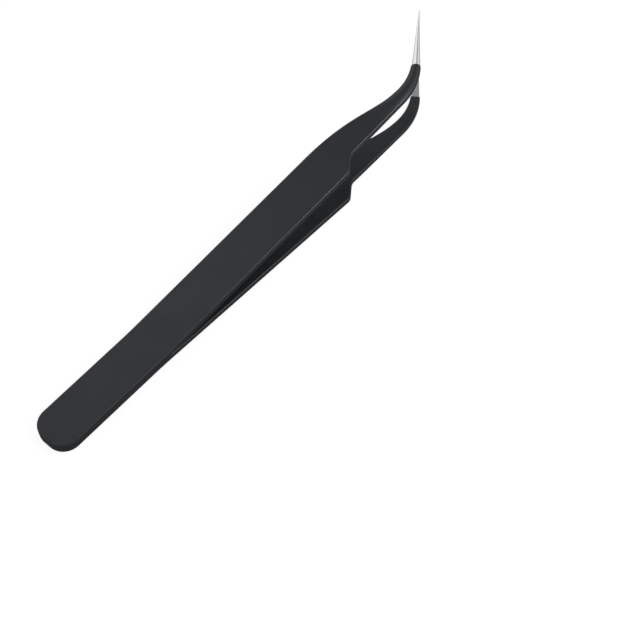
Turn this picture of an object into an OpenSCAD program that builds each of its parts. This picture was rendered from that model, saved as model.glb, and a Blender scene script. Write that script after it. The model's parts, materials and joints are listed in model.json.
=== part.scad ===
// Curved fine-point tweezers, lying on one arm with the tips open.
// Two spring-steel leaves are spot-welded together at the heel and dipped in a thin black coat.
// Only the ground tips stay bare. On the real tool each leaf is one piece that bends near the heel.
// Here it is cut, face to face, into a still tail, a short flexure that bends and a blade that swings.
// Outline sizes are measured over the coat, and the steel is inset by the coat's thickness.

/* [Handle] */
// Length from the heel's end to the corner of the shoulder
handle_l = 80.7; // [60:0.1:110]
// Width of the handle over the coat
handle_w = 9.3; // [8:0.05:12]
// Radius of the heel's two corners in plan, over the coat
heel_r = 3.85; // [1:0.05:3.9]
// Thickness of one steel leaf
leaf_t = 1.2; // [0.8:0.05:1.6]
// Thickness of the coat
coat_t = 0.15; // [0.08:0.01:0.25]
// Radius of the steel's long edges
edge_r = 0.2; // [0.08:0.01:0.3]

/* [Shoulder and neck] */
// Depth of the step from the handle's edge to the neck's edge
shoulder_step = 2.6; // [1.5:0.05:3]
// Angle of the step's sloping face to the handle
shoulder_deg = 38; // [30:1:60]
// Radius of the shoulder's outer corner
shoulder_r = 2; // [0.6:0.1:2.2]
// Radius in the inner corner where the neck begins
neck_r = 2.3; // [0.6:0.1:3]
// Length from the shoulder's corner to where the tip's curve begins
neck_l = 20.6; // [16:0.1:28]
// Rise of the neck's straight edge over its length
neck_rise = 0.45; // [0:0.05:0.8]
// Distance before the shoulder at which the other edge starts to sweep in
sweep_lead = 2.8; // [2.4:0.2:9]
// Length of the sweep's first handle, which holds it straight
sweep_in = 13; // [10:0.5:18]
// Length of the sweep's last handle, which lays it along the waist
sweep_out = 5.8; // [4:0.2:9]

/* [Curve and tip] */
// Width over the coat where the curve begins
waist_w = 3.1; // [2:0.05:3.6]
// Radius of the curve along its middle
curve_r = 14.2; // [9:0.2:20]
// Angle that the curve has turned through where the coat ends
coat_deg = 34; // [20:0.5:36]
// Angle from the handle to the straight tip. The curve's last part is bare.
tip_deg = 38; // [37:0.5:60]
// Width over the coat where the coat ends
coat_end_w = 2.1; // [1.6:0.05:2.4]
// Length of bare ground steel, from the coat's end to the point
bare_l = 15.1; // [10:0.1:18]
// Width of the very point
tip_w = 0.16; // [0.1:0.01:0.4]
// Thickness of the very point
tip_t = 0.24; // [0.15:0.01:0.5]
// How far the edges lie below the crest where the coat ends
crest_h = 0.6; // [0.2:0.05:0.7]
// Place of the ground ridge across the outer face, as a share of the width from its right edge
ridge_at = 0.42; // [0.38:0.01:0.5]
// Width of the ridge, as a share of the width
ridge_w = 0.12; // [0.06:0.01:0.12]

/* [Spring] */
// Length from the heel's end to where the leaves begin to part
weld_l = 24.5; // [18:0.5:32]
// Length over which a leaf bends from one slope to the next
bend_l = 4.5; // [3:0.5:8]
// Slope of each arm away from the middle, along the handle
flare_deg = 4.2; // [3:0.1:5.5]
// Slope of each arm past the shoulder
ease_deg = 2.65; // [1.5:0.05:3.6]
// Length of the stretch of leaf that bends as the arm closes
flexure_l = 7.2; // [4:0.2:12]

/* [Spot welds] */
// Radius of a weld nugget
weld_r = 1.5; // [0.8:0.1:2]
// Height of a weld nugget, half of it in each leaf
weld_h = 0.8; // [0.4:0.1:1]
// Distance from the heel's end to the first nugget
weld_x = 7; // [5:0.5:9]
// Distance between the two nuggets
weld_pitch = 10; // [5:0.5:12]

/* [Hidden] */
coat_colour = "#1c1c1e";
steel_colour = "#b9bbbd";
weld_colour = "#8d8f92";
half_w = handle_w / 2;
// The coat thins to half over this length at its end.
coat_lip = 0.4;
// Largest share of the steel's thickness and of its width that an edge's radius may take.
thick_share = 0.45;
width_share = 0.3;

// Side profile. A slope that changes over bend_l is a parabola, so ramp() is its height.
function ramp(u) = u < 0 ? 0 : u < bend_l ? u * u / (2 * bend_l) : u - bend_l / 2;
function ramp_reach(h) = h < bend_l / 2 ? sqrt(2 * bend_l * h) : h + bend_l / 2;
ease_x = handle_l - bend_l / 2;
ease_drop = tan(flare_deg) - tan(ease_deg);
function inner_z(x) = tan(flare_deg) * ramp(x - weld_l) - ease_drop * ramp(x - ease_x);

// The tails end where each leaf has opened by one coat, so that the coats meet at the middle.
tail_x = weld_l + ramp_reach(coat_t / tan(flare_deg));
flexure_x = tail_x + flexure_l;

// Outline in plan. The tip curves towards +Y, and the shoulder's step is on the -Y side.
shoulder_run = shoulder_step / tan(shoulder_deg);
neck_root = [handle_l + shoulder_run, shoulder_step - half_w];
waist_x = handle_l + neck_l;
waist_edge = neck_root[1] + neck_rise;
neck_deg = atan2(neck_rise, waist_x - neck_root[0]);
curve_mid = [waist_x, waist_edge + waist_w / 2 + curve_r];
function to_right(deg) = [sin(deg), -cos(deg)];
function along(deg) = [cos(deg), sin(deg)];
coat_end = curve_mid + curve_r * to_right(coat_deg);
bare_turn = curve_r * (tip_deg - coat_deg) * PI / 180;
turn_end = curve_mid + curve_r * to_right(tip_deg);
point = turn_end + (bare_l - bare_turn) * along(tip_deg);

// Corner arcs of the shoulder, as lists of [point, heading].
function lerp(a, b, t) = a + (b - a) * t;
step_tangent = shoulder_r * tan(shoulder_deg / 2);
step_mid = [handle_l - step_tangent, shoulder_r - half_w];
root_turn = shoulder_deg - neck_deg;
root_start = neck_root - neck_r * tan(root_turn / 2) * along(shoulder_deg);
root_mid = root_start + neck_r * to_right(shoulder_deg);
corner_steps = 4;
outer_corner = [
    for (i = [0 : corner_steps])
        let (deg = shoulder_deg * i / corner_steps)
        [step_mid + shoulder_r * to_right(deg), deg]
];
inner_corner = [
    for (i = [0 : corner_steps])
        let (deg = lerp(shoulder_deg, neck_deg, i / corner_steps))
        [root_mid - neck_r * to_right(deg), deg]
];

// The sweep of the +Y edge is one cubic curve, level at both ends.
sweep = [
    [handle_l - sweep_lead, half_w],
    [handle_l - sweep_lead + sweep_in, half_w],
    [waist_x - sweep_out, waist_edge + waist_w],
    [waist_x, waist_edge + waist_w]
];
function cubic(p, t) = let (s = 1 - t)
    s * s * s * p[0] + 3 * s * s * t * p[1] + 3 * s * t * t * p[2] + t * t * t * p[3];
function cubic_slope(p, t) = let (s = 1 - t)
    s * s * (p[1] - p[0]) + 2 * s * t * (p[2] - p[1]) + t * t * (p[3] - p[2]);
function cubic_at_x(p, x, lo = 0, hi = 1, tries = 24) = let (t = (lo + hi) / 2)
    tries == 0 ? t
    : cubic(p, t)[0] < x ? cubic_at_x(p, x, t, hi, tries - 1)
    : cubic_at_x(p, x, lo, t, tries - 1);
function sweep_edge(x) =
    x <= sweep[0][0] ? [[x, half_w], 0]
    : let (t = cubic_at_x(sweep, x), s = cubic_slope(sweep, t))
    [cubic(sweep, t), atan2(s[1], s[0])];

// A station is [right point, its heading, left point, its heading, steel at the crest,
// steel at the edges]. The loft runs through a list of them.
function plain_station(edge) = let (other = sweep_edge(edge[0][0]), drop = crest_at(edge[0][0]))
    [edge[0], edge[1], other[0], other[1], leaf_t, leaf_t - drop];
crest_reach = coat_end[0] - neck_root[0];
function ease(t) = t * t * (3 - 2 * t);
function crest_at(x) = crest_h * ease(min(1, max(0, (x - neck_root[0]) / crest_reach)));

neck_steps = 9;
curve_steps = 9;
bare_steps = 4;
neck_first = inner_corner[corner_steps][0];
neck_line = [
    for (i = [1 : neck_steps])
        [lerp(neck_first, [waist_x, waist_edge], i / neck_steps), neck_deg]
];
handle_line = [
    [[flexure_x, -half_w], 0],
    [[handle_l - sweep_lead, -half_w], 0],
    [[handle_l - sweep_lead * 2 / 3, -half_w], 0]
];
curve_line = [
    for (i = [1 : curve_steps])
        let (
            deg = coat_deg * i / curve_steps,
            w = lerp(waist_w, coat_end_w, i / curve_steps),
            mid = curve_mid + curve_r * to_right(deg),
            drop = crest_at(mid[0])
        )
        [mid + w / 2 * to_right(deg), deg, mid - w / 2 * to_right(deg), deg, leaf_t, leaf_t - drop]
];
bare_line = [
    for (i = [0 : bare_steps])
        let (
            t = lerp(bare_turn / bare_l, 1, i / bare_steps),
            w = lerp(coat_end_w, tip_w + 2 * coat_t, t),
            mid = lerp(turn_end, point, i / bare_steps),
            side = w / 2 * to_right(tip_deg)
        )
        [mid + side, tip_deg, mid - side, tip_deg,
            lerp(leaf_t, tip_t, t), lerp(leaf_t - crest_h, tip_t / 2, t)]
];
lip_station = let (
        t = -coat_lip / curve_r * 180 / PI,
        deg = coat_deg + t,
        mid = curve_mid + curve_r * to_right(deg),
        side = coat_end_w / 2 * to_right(deg)
    )
    [mid + side, deg, mid - side, deg, leaf_t, leaf_t - crest_h];
coated_stations = concat(
    [for (edge = concat(handle_line, outer_corner, inner_corner, neck_line)) plain_station(edge)],
    [for (i = [0 : curve_steps - 2]) curve_line[i]],
    [lip_station, curve_line[curve_steps - 1]]
);
blade_stations = concat(coated_stations, bare_line);
flexure_steps = 3;
flexure_stations = [
    for (i = [0 : flexure_steps])
        plain_station([[lerp(tail_x, flexure_x, i / flexure_steps), -half_w], 0])
];
bend_steps = 4;
bend_stations = [
    for (i = [0 : bend_steps])
        plain_station([[lerp(weld_l, tail_x, i / bend_steps), -half_w], 0])
];

// Across the outer face the steel is ground to two flats that meet in the ridge. The coat rounds
// them off, so its own face is part flats and part dome. Here a is 0 at the right edge and 1 at the
// left edge, and o is the growth outwards from the steel.
coat_round = 0.5;
crest_across = [ridge_at + 1.5 * ridge_w, ridge_at + ridge_w / 2, ridge_at - ridge_w / 2];
function flats(a) = min(1, a / crest_across[2], (1 - a) / (1 - crest_across[1]));
function dome(a) = 1 - pow(2 * a - 1, 2);
function rise(a, o) = lerp(flats(a), dome(a), coat_round * o / coat_t);

// One closed ring of a leaf, grown outwards by o from the steel. It runs from the inner corner
// on the right, across the flat inner face, and back over the crested outer face. Its long edges
// are rounder where the crest stands higher.
cut = 1 - sqrt(0.5);
edge_gain = 0.5;
function ring(s, o) =
    let (
        inset = coat_t - o,
        a = s[0] - inset * to_right(s[1]),
        b = s[2] + inset * to_right(s[3]),
        w = norm(b - a),
        d = (b - a) / w,
        low = -o,
        high = s[5] + o,
        crest = s[4] - s[5],
        r = min(edge_r + edge_gain * crest + o, thick_share * (s[5] + 2 * o), width_share * w),
        c = cut * r,
        flat = [
            [0, low + r], [c, low + c], [r, low],
            [w - r, low], [w - c, low + c], [w, low + r],
            [w, high - r],
            [w - c, high - c + crest * rise(1 - c / w, o)],
            [w - r, high + crest * rise(1 - r / w, o)],
            for (a = crest_across) [a * w, high + crest * rise(a, o)],
            [r, high + crest * rise(r / w, o)],
            [c, high - c + crest * rise(c / w, o)],
            [0, high - r]
        ]
    )
    [for (f = flat) let (p = a + f[0] * d) [p[0], p[1], inner_z(p[0]) + f[1]]];
ring_n = 15;

// Triangles of a skin through a number of rings. The first ring starts at index first, and the
// next one is step further on. The skin of a bore faces inwards, so its triangles are turned.
function turned(f, turn) = turn ? [f[2], f[1], f[0]] : f;
function skin(rings, step, first, bore) = [
    for (k = [0 : rings - 2], i = [0 : ring_n - 1])
        let (
            j = (i + 1) % ring_n,
            p = first + k * step,
            q = p + step
        )
        each [turned([p + i, q + j, p + j], bore), turned([p + i, q + i, q + j], bore)]
];
function cap(first, far) = [for (i = [0 : ring_n - 1]) first + (far ? ring_n - 1 - i : i)];
function rim(outer, inner, far) = [
    for (i = [0 : ring_n - 1])
        let (j = (i + 1) % ring_n)
        each [
            turned([outer + i, inner + j, outer + j], !far),
            turned([outer + i, inner + i, inner + j], !far)
        ]
];

// A solid leaf through a list of stations.
module leaf(stations, o = 0) {
    n = len(stations);
    points = [for (s = stations) each ring(s, o)];
    last = (n - 1) * ring_n;
    polyhedron(points, concat(
        skin(n, ring_n, 0, false), [cap(0, false)], [cap(last, true)]
    ), convexity = 4);
}

// The coat round a leaf: a closed tube with an open bore that is the leaf itself. At an end
// with a lip it thins to half.
module sleeve(stations, lip = false) {
    n = len(stations);
    points = [
        for (k = [0 : n - 1])
            each concat(
                ring(stations[k], lip && k == n - 1 ? coat_t / 2 : coat_t),
                ring(stations[k], 0)
            )
    ];
    last = (n - 1) * 2 * ring_n;
    polyhedron(points, concat(
        skin(n, 2 * ring_n, 0, false), skin(n, 2 * ring_n, ring_n, true),
        rim(0, ring_n, false), rim(last, last + ring_n, true)
    ), convexity = 6);
}

// The level stretch of the heel, with its two corners rounded in plan. One section serves it all:
// it is reach wide on each side of its middle, runs from z0 to z1 and is grown by o, and its
// long edges at z0 are rounded only if both is true.
function half_section(reach, z0, z1, o, both) =
    let (
        w = reach - coat_t + o,
        r = edge_r + o,
        c = cut * r
    )
    concat(
        both ? [[w - r, z0], [w - c, z0 + c], [w, z0 + r]] : [[w, z0]],
        [[w, z1 - r], [w - c, z1 - c], [w - r, z1]]
    );
module heel_block(z0, z1, o, both) {
    end_side = half_section(heel_r, z0, z1, o, both);
    end_section = concat([[0, z0]], end_side, [[0, z1]]);
    side = half_section(half_w, z0, z1, o, both);
    body_section = concat(side, [for (i = [len(side) - 1 : -1 : 0]) [-side[i][0], side[i][1]]]);
    corner_y = half_w - heel_r;
    for (turn = [0, 1])
        translate([heel_r, corner_y * (1 - 2 * turn), 0])
            rotate(90 + 90 * turn)
            rotate_extrude(angle = 90, $fn = 96)
            polygon(end_section);
    translate([heel_r, corner_y, 0])
        rotate([90, 0, 0])
        linear_extrude(2 * corner_y)
        mirror([1, 0])
        polygon(end_section);
    translate([heel_r, 0, 0])
        rotate([90, 0, 90])
        linear_extrude(weld_l - heel_r)
        polygon(body_section);
}

// Tilt and lift that lay the lower arm's outer face on the ground, on its heel and its shoulder.
outer_0 = leaf_t + coat_t;
heel_foot = edge_r + coat_t;
tilt_step = 0.25;
tilt = max([
    for (x = [handle_l / 2 : tilt_step : coat_end[0]])
        atan2(inner_z(x), x - heel_foot)
]);
lift = outer_0 * cos(tilt) - heel_foot * sin(tilt);
reach_x = point[0] * cos(tilt) + (inner_z(point[0]) + tip_t) * sin(tilt);
middle = [reach_x / 2, (point[1] - half_w) / 2];
module at_rest() {
    translate([-middle[0], -middle[1], lift])
        rotate([0, -tilt, 0])
        children();
}
module lower_side() {
    mirror([0, 0, 1]) children();
}

module nuggets(r = weld_r) {
    for (i = [0, 1])
        translate([weld_x + i * weld_pitch, 0, 0])
            cylinder(h = weld_h, r = r, center = true, $fn = 48);
}

module tail() {
    difference() {
        union() {
            heel_block(0, leaf_t, 0, true);
            leaf(bend_stations);
        }
        nuggets();
    }
}

module heel_skin() {
    difference() {
        union() {
            for (side = [0, 1])
                mirror([0, 0, side]) {
                    heel_block(0, leaf_t + coat_t, coat_t, false);
                    leaf(bend_stations, coat_t);
                }
        }
        tail();
        lower_side() tail();
        nuggets();
    }
}

module upper_tail() { color(steel_colour) at_rest() tail(); }
module lower_tail() { color(steel_colour) at_rest() lower_side() tail(); }
module spot_welds() { color(weld_colour) at_rest() nuggets(); }
module heel_coat() { color(coat_colour) at_rest() heel_skin(); }
module upper_flexure() { color(steel_colour) at_rest() leaf(flexure_stations); }
module lower_flexure() { color(steel_colour) at_rest() lower_side() leaf(flexure_stations); }
module upper_flexure_coat() { color(coat_colour) at_rest() sleeve(flexure_stations); }
module lower_flexure_coat() { color(coat_colour) at_rest() lower_side() sleeve(flexure_stations); }
module upper_blade() { color(steel_colour) at_rest() leaf(blade_stations); }
module lower_blade() { color(steel_colour) at_rest() lower_side() leaf(blade_stations); }
module upper_blade_coat() { color(coat_colour) at_rest() sleeve(coated_stations, true); }
module lower_blade_coat() { color(coat_colour) at_rest() lower_side() sleeve(coated_stations, true); }

upper_tail();
lower_tail();
spot_welds();
heel_coat();
upper_flexure();
lower_flexure();
upper_flexure_coat();
lower_flexure_coat();
upper_blade();
lower_blade();
upper_blade_coat();
lower_blade_coat();
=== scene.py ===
# %% [markdown]
# # Curved fine-point tweezers
# Two springy steel leaves are welded together at the heel, dipped in a thin black epoxy coat, and
# ground bare at the tips. A measured model of them is already packed, with its joints. This lesson
# builds the surfaces that show around that model: the coat on each arm, and the steel leaf inside
# it with its ground tip. It then paints them and lights them as a product photograph.

# %% Load the measured model
import json
import math
from collections import namedtuple

import bmesh
import bpy
from mathutils import Matrix, Vector
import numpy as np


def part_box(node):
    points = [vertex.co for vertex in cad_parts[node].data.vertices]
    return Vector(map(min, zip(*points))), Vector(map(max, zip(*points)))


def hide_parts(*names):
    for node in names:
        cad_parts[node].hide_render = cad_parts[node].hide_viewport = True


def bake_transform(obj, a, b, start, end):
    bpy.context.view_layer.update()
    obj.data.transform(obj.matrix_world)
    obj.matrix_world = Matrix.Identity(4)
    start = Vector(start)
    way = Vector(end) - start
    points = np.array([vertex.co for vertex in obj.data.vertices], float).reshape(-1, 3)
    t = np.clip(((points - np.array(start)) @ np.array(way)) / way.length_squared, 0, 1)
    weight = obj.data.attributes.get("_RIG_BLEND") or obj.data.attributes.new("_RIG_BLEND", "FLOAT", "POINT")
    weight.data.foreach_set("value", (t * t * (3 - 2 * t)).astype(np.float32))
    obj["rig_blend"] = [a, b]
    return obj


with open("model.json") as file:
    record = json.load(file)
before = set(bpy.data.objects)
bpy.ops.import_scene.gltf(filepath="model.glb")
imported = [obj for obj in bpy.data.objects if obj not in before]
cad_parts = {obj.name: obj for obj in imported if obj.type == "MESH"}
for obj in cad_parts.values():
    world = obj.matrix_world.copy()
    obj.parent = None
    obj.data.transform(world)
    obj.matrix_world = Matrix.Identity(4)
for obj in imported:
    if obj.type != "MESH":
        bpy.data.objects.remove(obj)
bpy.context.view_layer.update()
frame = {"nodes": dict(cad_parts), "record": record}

MM = 0.001
print("nodes:", sorted(frame["nodes"]))

# %% [markdown]
# ## Where the arms lie
# The tweezers are symmetric about a plane between the arms, but they lie on one arm, so that plane
# is tilted. The easiest way to model them is in the plane's own frame, in millimetres: x runs from
# the heel's end, y is across, and z is the height above the plane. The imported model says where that
# frame is: the heel's upper face gives the tilt, and the middle of the spot welds is on the plane.

# %% The plane between the arms
WELD_X = 12.0
heel_face = next(m for m in frame["record"]["mounts"] if m["name"] == "heel_upper_face")
TILT = math.atan2(-heel_face["axis"][0], heel_face["axis"][2])
weld_low, weld_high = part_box("spot_welds")
WELD_MIDDLE = (weld_low + weld_high) / 2


def into_frame(side):
    """The matrix from the arms' own frame, in mm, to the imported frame. side is 1 up, -1 down."""
    to_weld = Matrix.Translation((-WELD_X, 0, 0))
    flip = Matrix.Diagonal((1, 1, side, 1))
    turn = Matrix.Rotation(-TILT, 4, "Y")
    return Matrix.Translation(WELD_MIDDLE) @ turn @ Matrix.Scale(MM, 4) @ flip @ to_weld


print("tilt in degrees:", round(math.degrees(TILT), 3))

# %% [markdown]
# ## The side view
# Past the welds each arm leaves the plane along a parabola, which is how a leaf bends, and past the
# shoulder it eases again. A modifier could bend the finished arms, but one function that gives the
# height of the leaf's inner face bends the steel and its coat alike. The sizes here and in the next
# cells are in millimetres and degrees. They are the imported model's own, so the surfaces fit it, and
# the few that Blender adds are named where they come in.

# %% Height of the inner face
HANDLE_L = 80.7
COAT_T = 0.15
WELD_L = 24.5
BEND_L = 4.5
FLEXURE_L = 7.2
FLARE_DEG = 4.2
EASE_DEG = 2.65
FLARE = math.tan(math.radians(FLARE_DEG))
EASE = math.tan(math.radians(EASE_DEG))
EASE_X = HANDLE_L - BEND_L / 2


def ramp(u):
    """Height of a line of slope 1 that starts with a parabola BEND_L long."""
    if u < 0:
        return 0.0
    return u * u / (2 * BEND_L) if u < BEND_L else u - BEND_L / 2


def inner_height(x):
    return FLARE * ramp(x - WELD_L) - (FLARE - EASE) * ramp(x - EASE_X)


TAIL_X = WELD_L + math.sqrt(2 * BEND_L * COAT_T / FLARE)
FLEXURE_X = TAIL_X + FLEXURE_L
print("coats part at x =", round(TAIL_X, 2), "and the leaf bends up to", round(FLEXURE_X, 2))

# %% [markdown]
# ## The outline
# Seen from above, the -Y edge is straight, then steps in at the shoulder round two small arcs, and
# runs straight down the neck. The +Y edge is one long sweep, a single cubic curve. The two meet in
# an arc that turns the tip aside. Drawing this as a mesh at once would be hard to correct, so it is
# first held as points that know which way their edge is heading.

# %% Points with a heading
Edge = namedtuple("Edge", "point heading")


def along(heading):
    return Vector((math.cos(heading), math.sin(heading)))


def to_right(heading):
    return Vector((math.sin(heading), -math.cos(heading)))


def arc(centre, radius, start, end, steps):
    """Points along an arc, from heading start to heading end. A negative radius turns right."""
    headings = [start + (end - start) * i / steps for i in range(steps + 1)]
    return [Edge(centre + radius * to_right(h), h) for h in headings]


def line(start, end, steps):
    """Points along a straight line, without its first."""
    heading = math.atan2(end.y - start.y, end.x - start.x)
    return [Edge(start.lerp(end, i / steps), heading) for i in range(1, steps + 1)]


quarter_turn = arc(Vector((0, 1)), 1, 0.0, math.pi / 2, 2)
print("a quarter turn passes", [tuple(round(v, 2) for v in e.point) for e in quarter_turn])

# %% Shoulder, neck and curve
HANDLE_W = 9.3
HALF_W = HANDLE_W / 2
SHOULDER_STEP = 2.6
SHOULDER_HEADING = math.radians(38)
SHOULDER_R = 2
NECK_R = 2.3
NECK_L = 20.6
NECK_RISE = 0.45
WAIST_W = 3.1
CURVE_R = 14.2
COAT_HEADING = math.radians(34)

neck_root = Vector((HANDLE_L + SHOULDER_STEP / math.tan(SHOULDER_HEADING), SHOULDER_STEP - HALF_W))
waist = Vector((HANDLE_L + NECK_L, neck_root.y + NECK_RISE))
NECK_HEADING = math.atan2(waist.y - neck_root.y, waist.x - neck_root.x)
step_middle = Vector((HANDLE_L - SHOULDER_R * math.tan(SHOULDER_HEADING / 2), SHOULDER_R - HALF_W))
root_turn = SHOULDER_HEADING - NECK_HEADING
root_start = neck_root - NECK_R * math.tan(root_turn / 2) * along(SHOULDER_HEADING)
root_middle = root_start + NECK_R * to_right(SHOULDER_HEADING)
curve_middle = Vector((waist.x, waist.y + WAIST_W / 2 + CURVE_R))


def on_curve(heading):
    """The point of the curve's middle line where it has that heading."""
    return curve_middle + CURVE_R * to_right(heading)


print("neck begins at x =", round(neck_root.x, 2), "and the coat ends at x =",
      round(on_curve(COAT_HEADING).x, 2))

# %% The long sweep
SWEEP_LEAD = 2.8
SWEEP_IN = 13
SWEEP_OUT = 5.8
HALVINGS = 40
sweep = [
    Vector((HANDLE_L - SWEEP_LEAD, HALF_W)),
    Vector((HANDLE_L - SWEEP_LEAD + SWEEP_IN, HALF_W)),
    Vector((waist.x - SWEEP_OUT, waist.y + WAIST_W)),
    Vector((waist.x, waist.y + WAIST_W)),
]


def sweep_edge(x):
    """The +Y edge at x, found on the cubic curve by halving."""
    if x <= sweep[0].x:
        return Edge(Vector((x, HALF_W)), 0.0)
    low, high = 0.0, 1.0
    for _ in range(HALVINGS):
        t = (low + high) / 2
        s = 1 - t
        weights = (s**3, 3 * s * s * t, 3 * s * t * t, t**3)
        at = sum((w * p for w, p in zip(weights, sweep)), Vector((0, 0)))
        low, high = (t, high) if at.x < x else (low, t)
    slopes = (s * s, 2 * s * t, t * t)
    way = sum((w * (q - p) for w, p, q in zip(slopes, sweep, sweep[1:])), Vector((0, 0)))
    return Edge(at, math.atan2(way.y, way.x))


print("width at the neck's root in mm:", round(sweep_edge(neck_root.x).point.y - neck_root.y, 2))

# %% [markdown]
# ## The stations
# A station is a pair of points across the arm, one on each edge. The handle's stations are about a
# millimetre apart, because the arm has to bend there when it closes. The arcs get enough stations
# to look round, and the coat's last stretch gets a few close together, for its thin lip. From the
# neck on, the outer face is ground lower at its two edges, so each station also says how far its
# edges lie below its crest.

# %% Stations on the curve
COAT_END_W = 2.1
CREST_H = 0.6
Station = namedtuple("Station", "right left drop")


def crest_drop(x):
    t = min(1.0, max(0.0, (x - neck_root.x) / (on_curve(COAT_HEADING).x - neck_root.x)))
    return CREST_H * t * t * (3 - 2 * t)


def curve_station(heading):
    """A station on the curve. Its width runs evenly from the waist's to the coat end's."""
    middle = on_curve(heading)
    half = (WAIST_W + (COAT_END_W - WAIST_W) * heading / COAT_HEADING) / 2 * to_right(heading)
    return Station(Edge(middle + half, heading), Edge(middle - half, heading),
                   crest_drop(middle.x))


print("edges lie below the crest by", round(curve_station(COAT_HEADING).drop, 2),
      "mm at the coat's end")

# %% Edge points along the handle
STATION_GAP = 1.0
HEEL_R = 3.85
END_X = HEEL_R + 1


def handle_run(start, end):
    """Edge points along the straight side of the handle, without the first."""
    steps = math.ceil((end - start) / STATION_GAP)
    return line(Vector((start, -HALF_W)), Vector((end, -HALF_W)), steps)


print("points along the straight side:", len(handle_run(END_X, sweep[0].x)))

# %% Stations of a whole arm
ARC_STEPS = 8
NECK_STEPS = 20
CURVE_STEPS = 24
COAT_LIP = 0.4
LIP_SHARES = (1, 0.6, 0.35, 0.15, 0.04, 0)


def coated_stations(first, last=COAT_HEADING):
    """Stations from first, which is before the shoulder, to the heading last on the curve."""
    edges = [Edge(Vector((first, -HALF_W)), 0.0)]
    for stop in (TAIL_X, FLEXURE_X, sweep[0].x):
        if stop > edges[-1].point.x:
            edges += handle_run(edges[-1].point.x, stop)
    edges += handle_run(sweep[0].x, step_middle.x)[:-1]
    edges += arc(step_middle, SHOULDER_R, 0.0, SHOULDER_HEADING, ARC_STEPS)
    edges += arc(root_middle, -NECK_R, SHOULDER_HEADING, NECK_HEADING, ARC_STEPS)
    edges += line(edges[-1].point, waist, NECK_STEPS)
    stations = [Station(e, sweep_edge(e.point.x), crest_drop(e.point.x)) for e in edges]
    lip = COAT_LIP / CURVE_R
    stations += [curve_station((last - lip) * i / CURVE_STEPS) for i in range(1, CURVE_STEPS)]
    stations += [curve_station(last - lip * share) for share in LIP_SHARES]
    return stations


print("stations from heel to coat end:", len(coated_stations(END_X)))

# %% [markdown]
# ## The outer face across
# Under the coat the outer face is a shallow dome. On the bare tip it is ground to two flats that
# meet in a narrow ridge, a little nearer to the outside of the curve. The flat on the inside of the
# curve is wider, and has a slight belly from the wheel. The ridge is drawn a little wider than the
# packed one, because grinding leaves it soft. All of these are a rise above the edges, so one
# function mixes them. A set of lines across the face, two of them on the ridge, is enough to hold
# either shape.

# %% Rise of the outer face
RIDGE = 0.42
RIDGE_W = 0.14
LEFT_BELLY = 0.2
ACROSS = [0, 0.18, 0.27, RIDGE - RIDGE_W / 2, RIDGE + RIDGE_W / 2, 0.6, 0.71, 0.82, 1]


def rise(across, facet):
    """0 at the two edges and 1 at the crest. across is 0 at the right edge and 1 at the left."""
    dome = 1 - (2 * across - 1) ** 2
    right_flat = across / (RIDGE - RIDGE_W / 2)
    left_flat = min(1, (1 - across) / (1 - RIDGE - RIDGE_W / 2))
    left_flat *= 1 + LEFT_BELLY * (1 - left_flat)
    return facet * min(1, right_flat, left_flat) + (1 - facet) * dome


print("rise across a dome:", [round(rise(a, 0), 2) for a in ACROSS])
print("rise across flats:", [round(rise(a, 1), 2) for a in ACROSS])

# %% [markdown]
# ## One bar from a grid
# A leaf and its coat have the same form, so one helper makes both. A filled outline would give one
# big face that can't bend, so the bar starts from bmesh's grid instead, with one column of vertices
# for each station. The grid runs from -1 to 1 both ways, so a vertex can tell its column and its
# row, and slides to its place in the outline.
# Extruding the whole sheet gives it thickness, and the copy on top is lifted to the crest. It is
# left flat for now, because bevels and walls are cleaner on a straight bar than on a bent one.

# %% Grid and outline
LEAF_T = 1.2


def outline_sheet(stations, skin, facet):
    """A flat sheet through the stations, that remembers how high its top and bottom will be."""
    bm = bmesh.new()
    rows = len(ACROSS) - 1
    bmesh.ops.create_grid(bm, x_segments=len(stations) - 1, y_segments=rows, size=1)
    top = bm.verts.layers.float.new("top")
    bottom = bm.verts.layers.float.new("bottom")
    for v in bm.verts:
        station = stations[round((v.co.x + 1) / 2 * (len(stations) - 1))]
        across = ACROSS[round((v.co.y + 1) / 2 * rows)]
        right = station.right.point - (COAT_T - skin) * to_right(station.right.heading)
        left = station.left.point + (COAT_T - skin) * to_right(station.left.heading)
        v.co = right.lerp(left, across).to_3d()
        v[top] = LEAF_T + station.drop * (rise(across, facet) - 1) + skin
        v[bottom] = -min(skin, inner_height(v.co.x))
    return bm


test_bar = outline_sheet(coated_stations(END_X), COAT_T, 0)
print("sheet of", len(test_bar.faces), "faces")

# %% Thickness


def thicken(bm):
    """Extrudes the sheet upwards, and moves every vertex to the height that it remembers."""
    top = bm.verts.layers.float["top"]
    bottom = bm.verts.layers.float["bottom"]
    made = bmesh.ops.extrude_face_region(bm, geom=bm.faces[:])
    upper = {g for g in made["geom"] if isinstance(g, bmesh.types.BMVert)}
    for v in bm.verts:
        v.co.z = v[top] if v in upper else v[bottom]
    bmesh.ops.recalc_face_normals(bm, faces=bm.faces)


thicken(test_bar)
print("bar of", len(test_bar.faces), "faces and", round(test_bar.calc_volume()), "cubic mm")
test_bar.free()

# %% [markdown]
# ## The heel's end
# The heel is cut square and its two corners are rounded. That is what a vertex bevel does on a flat
# sheet, so the end is added before the sheet is thickened: the last row of edges is extruded to the
# end, the new strip becomes one face, and its two outer corners get a bevel of the heel's radius.

# %% Rounded end of the sheet
HEEL_STEPS = 16
NEAR = 1e-4


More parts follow.
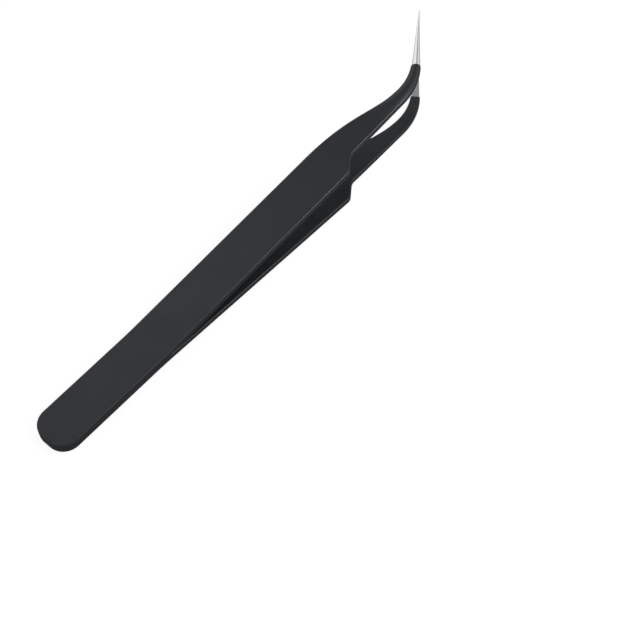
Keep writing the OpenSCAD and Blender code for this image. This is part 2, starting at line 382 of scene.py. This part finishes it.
def add_heel_end(bm):
    first = min(v.co.x for v in bm.verts)
    row = [e for e in bm.edges if all(abs(v.co.x - first) < NEAR for v in e.verts)]
    made = bmesh.ops.extrude_edge_only(bm, edges=row)["geom"]
    strip = [g for g in made if isinstance(g, bmesh.types.BMFace)]
    ends = [g for g in made if isinstance(g, bmesh.types.BMVert)]
    for v in ends:
        v.co.x = 0
    bmesh.ops.dissolve_faces(bm, faces=strip)
    inner = [v for v in ends if abs(v.co.y) < HALF_W - NEAR]
    bmesh.ops.dissolve_verts(bm, verts=inner)
    corners = [v for v in bm.verts if v.co.x < NEAR]
    bmesh.ops.bevel(bm, geom=corners, offset=HEEL_R, offset_type="OFFSET", segments=HEEL_STEPS,
                    profile=0.5, affect="VERTICES", clamp_overlap=True, material=-1)


test_sheet = outline_sheet(coated_stations(END_X), COAT_T, 0)
add_heel_end(test_sheet)
print("points round the heel's end:", sum(v.co.x < END_X - NEAR for v in test_sheet.verts))
test_sheet.free()

# %% [markdown]
# ## Rounded arrises
# An arris is the line where two faces meet. A real coat never has a sharp one, and the thin light
# line along the handle in a photograph is the rounded arris catching a lamp. The leaf's inner face
# stays flat and crisp at its edges, so the inner arrises are tighter than the outer ones, and their
# line is fainter. A Bevel modifier would round the cut ends as well, so the helper looks for the
# edges between a wall and a face, and bevels just those, with several segments. The skin, which is
# the coat's thickness or nothing, adds to the radius.

# %% Rounding helper
EDGE_R = 0.2
INNER_EDGE_R = 0.05
ARRIS_STEPS = 5
WALL_TILT = 0.3


def is_wall(face):
    return abs(face.normal.z) < WALL_TILT


def round_arrises(bm, skin, skip):
    """Bevels the edges between walls and faces, apart from those for which skip(edge) is true."""
    count = 0
    for is_outer, radius in ((True, EDGE_R + skin), (False, INNER_EDGE_R + skin)):
        bm.normal_update()
        rims = [e for e in bm.edges if len(e.link_faces) == 2 and not skip(e)
                and (e.verts[0].co.z > NEAR) == is_outer
                and is_wall(e.link_faces[0]) != is_wall(e.link_faces[1])]
        bmesh.ops.bevel(bm, geom=rims, offset=radius, offset_type="OFFSET", segments=ARRIS_STEPS,
                        profile=0.5, affect="EDGES", clamp_overlap=False, material=-1)
        count += len(rims)
    return count


print("the coat's arrises have radii of", EDGE_R + COAT_T, "and", INNER_EDGE_R + COAT_T, "mm")

# %% [markdown]
# ## Bend, place and keep
# A finished bar is bent by lifting each vertex to the inner face's height at its x, and then one
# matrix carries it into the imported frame. The arms move, so a pattern that read plain object
# coordinates would slide over the steel as they close. Each vertex therefore keeps its place at
# rest in an attribute of its own, which the materials read instead.

# %% From bmesh to a finished piece


def bend(bm):
    for v in bm.verts:
        v.co.z += inner_height(v.co.x)


def keep(bm, name, side, sharp_deg):
    """Places the bar on its side, and makes it a mesh object with smooth shading."""
    bmesh.ops.transform(bm, matrix=into_frame(side), verts=bm.verts)
    if side < 0:
        bmesh.ops.reverse_faces(bm, faces=bm.faces)
    mesh = bpy.data.meshes.new(name)
    bm.to_mesh(mesh)
    bm.free()
    mesh.shade_smooth()
    mesh.set_sharp_from_angle(angle=math.radians(sharp_deg))
    rest = mesh.attributes.new("rest_place", "FLOAT_VECTOR", "POINT")
    for value, vertex in zip(rest.data, mesh.vertices):
        value.vector = vertex.co
    piece = bpy.data.objects.new(name, mesh)
    bpy.context.scene.collection.objects.link(piece)
    even = piece.modifiers.new("even_shading", "WEIGHTED_NORMAL")
    even.keep_sharp = True
    print(name, "has", len(mesh.polygons), "faces")
    return piece


print("the inner face rises", round(inner_height(waist.x), 2), "mm by the waist")

# %% [markdown]
# ## The coat
# The coat is a thin skin, and it can be made as one: the bar's outer surface, opened where the skin
# is open, then given a wall inwards. It is open at the coat's end, where the bare steel comes out,
# and along the inside of the heel, where the two leaves lie against each other with no coat between
# them. Past the point where the arms part, the skin closes round the inner face as well. At its
# end the coat thins to half with a round lip, as a dipped coat does along a masked line. Masking is
# done by hand, so each arm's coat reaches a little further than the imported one, by its own angle.

# %% Open end and lip
ACROSS_END = 0.99
END_GAP = 1e-3


def end_faces(bm, heading):
    """The faces that lie across the bar's end, which is at that heading on the curve."""
    way = along(heading).to_3d()
    end = on_curve(heading).to_3d()
    return [f for f in bm.faces if f.normal.dot(way) > ACROSS_END
            and (f.calc_center_median() - end).dot(way) > -END_GAP]


def thin_lip(bm, heading):
    """Draws the coat's last stretch in towards the steel, along a quarter of an ellipse."""
    way = along(heading).to_3d()
    end = on_curve(heading).to_3d()
    high = Vector((0, 0, LEAF_T / 2))
    for v in bm.verts:
        before_end = (end - v.co).dot(way)
        if before_end < COAT_LIP:
            gone = COAT_T / 2 * (1 - math.sqrt(max(0, 1 - (1 - before_end / COAT_LIP) ** 2)))
            out = v.co - (end - before_end * way + high)
            v.co.xy -= out.xy * gone / (COAT_END_W / 2)
            v.co.z -= out.z * gone / (LEAF_T / 2 + COAT_T)


print("the coat thins to", COAT_T / 2, "mm over its last", COAT_LIP, "mm")

# %% Skin of each arm
COAT_FACET = 0.5
FACING_DOWN = -0.9
COAT_SHARP_DEG = 40
UPPER_COAT_MORE = math.radians(1)
LOWER_COAT_MORE = math.radians(3)


def coat_skin(name, side, last):
    bm = outline_sheet(coated_stations(END_X, last), COAT_T, COAT_FACET)
    add_heel_end(bm)
    thicken(bm)
    bm.normal_update()
    between = [f for f in bm.faces if f.normal.z < FACING_DOWN
               and f.calc_center_median().x < TAIL_X]
    bmesh.ops.delete(bm, geom=end_faces(bm, last) + between, context="FACES")
    rims = round_arrises(bm, COAT_T, lambda edge: False)
    outside = len(bm.faces)
    bmesh.ops.solidify(bm, geom=bm.faces[:], thickness=COAT_T)
    thin_lip(bm, last)
    bend(bm)
    print(name, "rounds", rims, "edges and has", outside, "faces outside")
    return keep(bm, name, side, COAT_SHARP_DEG)


upper_coat = coat_skin("upper_coat", 1, COAT_HEADING + UPPER_COAT_MORE)
lower_coat = coat_skin("lower_coat", -1, COAT_HEADING + LOWER_COAT_MORE)

# %% [markdown]
# ## The leaf and its ground tip
# The leaf runs inside the coat, so it is the same bar, inset by the coat's thickness. Its bare tip
# turns a little further and then runs straight, and every part of it narrows to the point. That is
# an extrusion that shrinks: the end face is extruded a few times, and one matrix carries each new
# ring on along the tip's middle line, turns it and narrows it. The ridge's rise narrows in step
# with the width, because a grinding wheel leaves true flats, and the edges thin by themselves.

# %% Rings of the bare tip
TIP_HEADING = math.radians(38)
BARE_L = 15.1
BARE_TURN = CURVE_R * (TIP_HEADING - COAT_HEADING)
TIP_W = 0.16
TIP_T = 0.24
TURN_STEPS = 3
TIP_STEPS = 6
STEEL_W = COAT_END_W - 2 * COAT_T
Ring = namedtuple("Ring", "middle heading width edge")


def ring_at(distance):
    """The tip's section that far from the coat's end, measured along its middle line."""
    share = distance / BARE_L
    heading = min(TIP_HEADING, COAT_HEADING + distance / CURVE_R)
    middle = on_curve(heading) + max(0, distance - BARE_TURN) * along(TIP_HEADING)
    first_edge = LEAF_T - CREST_H
    last_edge = TIP_T - CREST_H * TIP_W / STEEL_W
    return Ring(middle, heading, STEEL_W + (TIP_W - STEEL_W) * share,
                first_edge + (last_edge - first_edge) * share)


turning = [BARE_TURN * i / TURN_STEPS for i in range(TURN_STEPS)]
straight = [BARE_TURN + (BARE_L - BARE_TURN) * i / TIP_STEPS for i in range(TIP_STEPS + 1)]
tip_rings = [ring_at(distance) for distance in turning + straight]
print("tip widths in mm:", [round(ring.width, 2) for ring in tip_rings])

# %% From one ring to the next


def ring_matrix(before, after):
    """Moves, turns and narrows one ring of the tip onto the next."""
    narrower = Matrix.Diagonal((1, after.width / before.width, 1, 1))
    unturn = Matrix.Rotation(-before.heading, 4, "Z") @ Matrix.Translation(-before.middle.to_3d())
    turn = Matrix.Translation(after.middle.to_3d()) @ Matrix.Rotation(after.heading, 4, "Z")
    return turn @ narrower @ unturn


def carry_ring(bm, verts, before, after):
    """Carries one ring of the tip onto the next, and thins its edges and its ridge."""
    bmesh.ops.transform(bm, matrix=ring_matrix(before, after), verts=verts)
    narrower = after.width / before.width
    for v in verts:
        if v.co.z < before.edge:
            v.co.z *= after.edge / before.edge
        else:
            v.co.z = after.edge + (v.co.z - before.edge) * narrower


one_step = ring_matrix(tip_rings[0], tip_rings[1]).to_translation()
print("the first step has a matrix with the translation", [round(v, 2) for v in one_step])

# %% Ends of the leaf


def on_an_end(edge):
    """True for an edge of the leaf's cut root or of its end at the bare tip."""
    way = along(COAT_HEADING).to_3d()
    end = on_curve(COAT_HEADING).to_3d()
    at_root = all(abs(v.co.x - TAIL_X) < NEAR for v in edge.verts)
    at_tip = all((v.co - end).dot(way) > -END_GAP for v in edge.verts)
    return at_root or at_tip


print("the leaf's root is cut at x =", round(TAIL_X, 2))

# %% Steel leaf with its tip
STEEL_SHARP_DEG = 25


def leaf_bar(name, side):
    bm = outline_sheet(coated_stations(TAIL_X), 0, 1)
    thicken(bm)
    bm.normal_update()
    bmesh.ops.dissolve_faces(bm, faces=end_faces(bm, COAT_HEADING))
    rims = round_arrises(bm, 0, on_an_end)
    bm.normal_update()
    face = end_faces(bm, COAT_HEADING)[0]
    for before, after in zip(tip_rings, tip_rings[1:]):
        made = bmesh.ops.extrude_face_region(bm, geom=[face])["geom"]
        bmesh.ops.delete(bm, geom=[face], context="FACES_ONLY")
        verts = [g for g in made if isinstance(g, bmesh.types.BMVert)]
        face = next(g for g in made if isinstance(g, bmesh.types.BMFace))
        carry_ring(bm, verts, before, after)
    bend(bm)
    print(name, "rounds", rims, "edges")
    return keep(bm, name, side, STEEL_SHARP_DEG)


upper_leaf = leaf_bar("upper_leaf", 1)
lower_leaf = leaf_bar("lower_leaf", -1)

# %% [markdown]
# ## What moves with what
# Each coat and each leaf is one unbroken piece that bends near the heel, so each is blended between
# the heel and its arm over the stretch that the imported model sets aside for bending. The tails and
# the spot welds under the coat stay as they were packed.

# %% Bodies and replaced nodes
for arm, coat, leaf in (("upper", upper_coat, upper_leaf), ("lower", lower_coat, lower_leaf)):
    low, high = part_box(arm + "_flexure")
    middle = (low + high) / 2
    start = (low.x, middle.y, middle.z)
    end = (high.x, middle.y, middle.z)
    for piece in (coat, leaf):
        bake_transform(piece, "heel", arm + "_arm", start=start, end=end)
    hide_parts("heel_coat", arm + "_flexure_coat", arm + "_blade_coat")
    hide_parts(arm + "_flexure", arm + "_blade")
    print(arm, "arm bends from x =", round(low.x / MM, 2), "to", round(high.x / MM, 2), "mm")

# %% [markdown]
# ## Black epoxy
# The coat is a static-dissipative epoxy: nearly black, satin, with a very fine orange peel and a
# slight cloudiness in its gloss. Its colour is so dark that most of what shows is reflection, so
# its roughness matters more than its colour. Noise at three scales gives all of this without a
# picture, and the helpers for it serve the steel as well.

# %% A material and the surface's own place


def new_material(name):
    material = bpy.data.materials.new(name)
    material.use_nodes = True
    tree = material.node_tree
    return material, tree, tree.nodes["Principled BSDF"]


def rest_place(tree):
    """The surface's own place at rest, which doesn't slide when an arm moves."""
    node = tree.nodes.new("ShaderNodeAttribute")
    node.attribute_name = "rest_place"
    return node.outputs["Vector"]


black_epoxy, tree, surface = new_material("black_epoxy")
where = rest_place(tree)
print(black_epoxy.name, "starts with", [node.name for node in tree.nodes])

# %% Noise helpers
NOISE_LOW = 0.3
NOISE_HIGH = 0.7


def noise(tree, where, scale, detail, roughness=0.5):
    node = tree.nodes.new("ShaderNodeTexNoise")
    node.inputs["Scale"].default_value = scale
    node.inputs["Detail"].default_value = detail
    node.inputs["Roughness"].default_value = roughness
    tree.links.new(where, node.inputs["Vector"])
    return node.outputs["Fac"]


def spread(tree, value, low, high):
    """Maps a noise, which is mostly between NOISE_LOW and NOISE_HIGH, onto low to high."""
    node = tree.nodes.new("ShaderNodeMapRange")
    names = ("From Min", "From Max", "To Min", "To Max")
    for name, number in zip(names, (NOISE_LOW, NOISE_HIGH, low, high)):
        node.inputs[name].default_value = number
    tree.links.new(value, node.inputs["Value"])
    return node.outputs["Result"]


cloud = noise(tree, where, scale=180, detail=3)
print("the cloudiness comes from", cloud.node.name)

# %% Helpers for colour and bump


def two_colours(tree, value, first, second):
    node = tree.nodes.new("ShaderNodeMix")
    node.data_type = "RGBA"
    node.inputs["A"].default_value = (*first, 1)
    node.inputs["B"].default_value = (*second, 1)
    tree.links.new(value, node.inputs["Factor"])
    return node.outputs["Result"]


def bumped(tree, height, depth, before=None):
    node = tree.nodes.new("ShaderNodeBump")
    node.inputs["Distance"].default_value = depth
    tree.links.new(height, node.inputs["Height"])
    if before:
        tree.links.new(before, node.inputs["Normal"])
    return node.outputs["Normal"]


EPOXY_DARK = (0.0104, 0.0112, 0.0127)
EPOXY_LIGHT = (0.0128, 0.0137, 0.0155)
colour = two_colours(tree, cloud, EPOXY_DARK, EPOXY_LIGHT)
tree.links.new(colour, surface.inputs["Base Color"])
print(black_epoxy.name, "is cloudy between", EPOXY_DARK, "and", EPOXY_LIGHT)

# %% Gloss of the epoxy
PEEL_DEPTH = 0.000008
GRAIN_DEPTH = 0.000002

peel = noise(tree, where, scale=2600, detail=2)
grain = noise(tree, where, scale=9000, detail=1)
tree.links.new(spread(tree, cloud, low=0.34, high=0.42), surface.inputs["Roughness"])
surface.inputs["Specular IOR Level"].default_value = 0.45
surface.inputs["Specular Tint"].default_value = (0.88, 0.93, 1, 1)
normal = bumped(tree, peel, PEEL_DEPTH)
normal = bumped(tree, grain, GRAIN_DEPTH, before=normal)
tree.links.new(normal, surface.inputs["Normal"])
for coat in (upper_coat, lower_coat):
    coat.data.materials.append(black_epoxy)
print("painted both coats with", len(tree.nodes), "nodes")

# %% [markdown]
# ## Ground steel
# The tips are ground lengthwise and polished. The fine lines that grinding leaves run along the
# tip, so the noise that makes them is turned to the tip's heading and stretched along it. It varies
# the roughness and not the height, because real lines are finer than the eye can tell apart. The
# tails and the welds under the coat are plain rolled steel. They don't move, so they can read the
# usual object coordinates.

# %% Steel of the leaves
LINE_STRETCH = 40
GROUND_DARK = (0.8, 0.8, 0.8)
GROUND_LIGHT = (0.86, 0.86, 0.86)

ground_steel, tree, surface = new_material("ground_steel")
where = rest_place(tree)
turn = tree.nodes.new("ShaderNodeMapping")
turn.vector_type = "TEXTURE"
turn.inputs["Rotation"].default_value = (0, 0, TIP_HEADING)
turn.inputs["Scale"].default_value = (LINE_STRETCH, 1, 1)
tree.links.new(where, turn.inputs["Vector"])
lines = noise(tree, turn.outputs["Vector"], scale=9000, detail=3, roughness=0.6)
cloud = noise(tree, where, scale=400, detail=2)
colour = two_colours(tree, cloud, GROUND_DARK, GROUND_LIGHT)
tree.links.new(colour, surface.inputs["Base Color"])
surface.inputs["Metallic"].default_value = 1
tree.links.new(spread(tree, lines, low=0.2, high=0.3), surface.inputs["Roughness"])
for leaf in (upper_leaf, lower_leaf):
    leaf.data.materials.append(ground_steel)
print("painted both leaves with", ground_steel.name)

# %% Steel under the coat
ROLLED_DARK = (0.5, 0.49, 0.48)
ROLLED_LIGHT = (0.6, 0.59, 0.58)

rolled_steel, tree, surface = new_material("rolled_steel")
place = tree.nodes.new("ShaderNodeTexCoord").outputs["Object"]
cloud = noise(tree, place, scale=500, detail=3)
colour = two_colours(tree, cloud, ROLLED_DARK, ROLLED_LIGHT)
tree.links.new(colour, surface.inputs["Base Color"])
surface.inputs["Metallic"].default_value = 1
tree.links.new(spread(tree, cloud, low=0.35, high=0.5), surface.inputs["Roughness"])
for name in ("upper_tail", "lower_tail", "spot_welds"):
    frame["nodes"][name].material_slots[0].material = rolled_steel
print("painted the tails and welds with", rolled_steel.name)

# %% [markdown]
# ## Floor
# The photograph is a product shot on white. The floor could be a bright white sheet, but then it
# would light the tweezers from below far too much. So it is grey paper that keeps the object's
# shadow, with a glow that depends on which ray meets it: to the camera it looks white, and to the
# coat and the steel, which mirror it, it looks dim, as in the photograph.

# %% Light that depends on the ray


def seen_by(tree, *kinds):
    """1 for rays of those kinds, such as the camera's own, and 0 for others."""
    path = tree.nodes.new("ShaderNodeLightPath")
    seen = path.outputs[kinds[0]]
    for kind in kinds[1:]:
        either = tree.nodes.new("ShaderNodeMath")
        either.operation = "MAXIMUM"
        tree.links.new(seen, either.inputs[0])
        tree.links.new(path.outputs[kind], either.inputs[1])
        seen = either.outputs[0]
    return seen


white_paper, tree, surface = new_material("white_paper")
mirrored = seen_by(tree, "Is Glossy Ray", "Is Transmission Ray")
print(white_paper.name, "has", len(tree.nodes), "nodes so far")

# %% A number for each kind of ray
FLOOR_MIRRORED = 0.05


def feed(tree, socket, value):
    """Sets a socket to a number, or links it to another node's output."""
    if isinstance(value, (int, float)):
        socket.default_value = value
    else:
        tree.links.new(value, socket)


def choose(tree, switch, off, on):
    """A number that is off where the switch is 0 and on where it is 1."""
    node = tree.nodes.new("ShaderNodeMix")
    feed(tree, node.inputs["A"], off)
    feed(tree, node.inputs["B"], on)
    tree.links.new(switch, node.inputs["Factor"])
    return node.outputs["Result"]


glow = choose(tree, mirrored, 0, FLOOR_MIRRORED)
print("the coat and the steel mirror a floor of", FLOOR_MIRRORED)

# %% Paper on the floor
SKY_LIGHT = 0.8
FLOOR_SIZE = 8.0
FLOOR_GREY = 0.15

surface.inputs["Base Color"].default_value = (FLOOR_GREY, FLOOR_GREY, FLOOR_GREY, 1)
surface.inputs["Roughness"].default_value = 1
surface.inputs["Specular IOR Level"].default_value = 0
surface.inputs["Emission Color"].default_value = (1, 1, 1, 1)
glow = choose(tree, seen_by(tree, "Is Camera Ray"), glow, 1 - FLOOR_GREY * SKY_LIGHT)
tree.links.new(glow, surface.inputs["Emission Strength"])

sheet = bmesh.new()
bmesh.ops.create_grid(sheet, x_segments=1, y_segments=1, size=FLOOR_SIZE / 2)
floor_mesh = bpy.data.meshes.new("floor")
sheet.to_mesh(floor_mesh)
sheet.free()
floor = bpy.data.objects.new("floor", floor_mesh)
floor.data.materials.append(white_paper)
bpy.context.scene.collection.objects.link(floor)
print("floor of", FLOOR_SIZE, "by", FLOOR_SIZE, "m")

# %% [markdown]
# ## Sky
# The sky does the same: white to the camera, and a plain level of light for everything else.
# Polished steel mirrors it as a studio, with bright walls near the horizon and a darker ceiling,
# and both fall away towards +X. That is what draws the two flats and the ridge of the ground tips,
# and it keeps the coat's faces dark. Real softboxes could do it too, but every one of them would
# also light the object, and the sky can be kept apart for the rays that mirror it.

# %% Directions in the sky
world = bpy.data.worlds.new("studio")
bpy.context.scene.world = world
world.use_nodes = True
tree = world.node_tree
direction = tree.nodes.new("ShaderNodeSeparateXYZ")
tree.links.new(tree.nodes.new("ShaderNodeTexCoord").outputs["Generated"], direction.inputs[0])
print("the sky is told by", [socket.name for socket in direction.outputs])

# %% Walls and ceiling
WALL_TOP = 0.42
CEILING_FROM = 0.66
WALL_FAR = 0.84
WALL_NEAR_X = 0.55
WALL_FAR_X = 0.95
CEILING_NEAR = 0.45
CEILING_FAR = 0.26
CEILING_NEAR_X = 0.13
CEILING_FAR_X = 0.38


def ease_range(tree, value, start, end, low, high):
    """Goes smoothly from low to high as the value goes from start to end."""
    node = tree.nodes.new("ShaderNodeMapRange")
    node.interpolation_type = "SMOOTHSTEP"
    names = ("Value", "From Min", "From Max", "To Min", "To Max")
    for name, number in zip(names, (value, start, end, low, high)):
        feed(tree, node.inputs[name], number)
    return node.outputs["Result"]


to_plus_x, to_top = direction.outputs["X"], direction.outputs["Z"]
ceiling = ease_range(tree, to_plus_x, CEILING_NEAR_X, CEILING_FAR_X, CEILING_NEAR, CEILING_FAR)
wall = ease_range(tree, to_plus_x, WALL_NEAR_X, WALL_FAR_X, 1, WALL_FAR)
studio = ease_range(tree, to_top, WALL_TOP, CEILING_FROM, wall, ceiling)
print("the ceiling falls from", CEILING_NEAR, "to", CEILING_FAR, "and the walls to", WALL_FAR)

# %% Sky as each ray sees it
mirrored = seen_by(tree, "Is Glossy Ray", "Is Transmission Ray")
level = choose(tree, mirrored, SKY_LIGHT, studio)
level = choose(tree, seen_by(tree, "Is Camera Ray"), level, 1)
tree.links.new(level, tree.nodes["Background"].inputs["Strength"])
tree.nodes["Background"].inputs["Color"].default_value = (1, 1, 1, 1)
print("sky of", len(tree.nodes), "nodes")

# %% [markdown]
# ## Lamps
# Two soft panels finish the light. The side panel stands where the handle's rounded arris mirrors
# it, and draws the thin light line along the handle. It stands high, so that the flat of the handle
# doesn't mirror it when it is seen from behind. The top panel is small and weak, and gives the
# curve and the tips a little light from the other side.

# %% Soft panels


def soft_panel(name, place, aim, wide, high, watts):
    """A rectangular lamp that faces aim."""
    lamp = bpy.data.lights.new(name, "AREA")
    lamp.shape = "RECTANGLE"
    lamp.size = wide
    lamp.size_y = high
    lamp.energy = watts
    panel = bpy.data.objects.new(name, lamp)
    panel.location = place
    panel.rotation_mode = "QUATERNION"
    panel.rotation_quaternion = (Vector(aim) - Vector(place)).to_track_quat("-Z", "Y")
    bpy.context.scene.collection.objects.link(panel)
    print(name, "gives", watts, "W from", place)


soft_panel("side_panel", (0.1, -0.16, 0.17), aim=(0.02, 0, 0), wide=0.09, high=0.15, watts=0.32)
soft_panel("top_panel", (0.02, 0.15, 0.3), aim=(0, 0, 0), wide=0.07, high=0.07, watts=0.03)

# %% [markdown]
# ## Camera
# The photograph was taken from above and from the heel's side, with a long lens. The camera is held
# by the point that it aims at, its direction and its distance, because these can be fitted one at a
# time until the outline of the tweezers falls on the photograph's. The lens is given in the
# photograph's own pixels.

# %% The photograph's camera
CAMERA_AZIMUTH = math.radians(-47.754)
CAMERA_ELEVATION = math.radians(58.054)
CAMERA_DISTANCE = 0.33214
CAMERA_AIM = Vector((-0.007692, -0.024961, 0.005051))
PHOTO_WIDTH = 640
FOCAL_PIXELS = 1713.5

camera = bpy.data.cameras.new("camera")
camera.sensor_width = 36
camera.lens = camera.sensor_width * FOCAL_PIXELS / PHOTO_WIDTH
camera.clip_start = 0.01
camera.clip_end = 20
camera_object = bpy.data.objects.new("camera", camera)
back = Vector((
    math.sin(CAMERA_AZIMUTH) * math.cos(CAMERA_ELEVATION),
    -math.cos(CAMERA_AZIMUTH) * math.cos(CAMERA_ELEVATION),
    math.sin(CAMERA_ELEVATION),
))
camera_object.location = CAMERA_AIM + CAMERA_DISTANCE * back
camera_object.rotation_mode = "QUATERNION"
camera_object.rotation_quaternion = (-back).to_track_quat("-Z", "Y")
bpy.context.scene.collection.objects.link(camera_object)
bpy.context.scene.camera = camera_object
bpy.context.scene.view_settings.view_transform = "Standard"
print("lens:", round(camera.lens, 1), "mm")
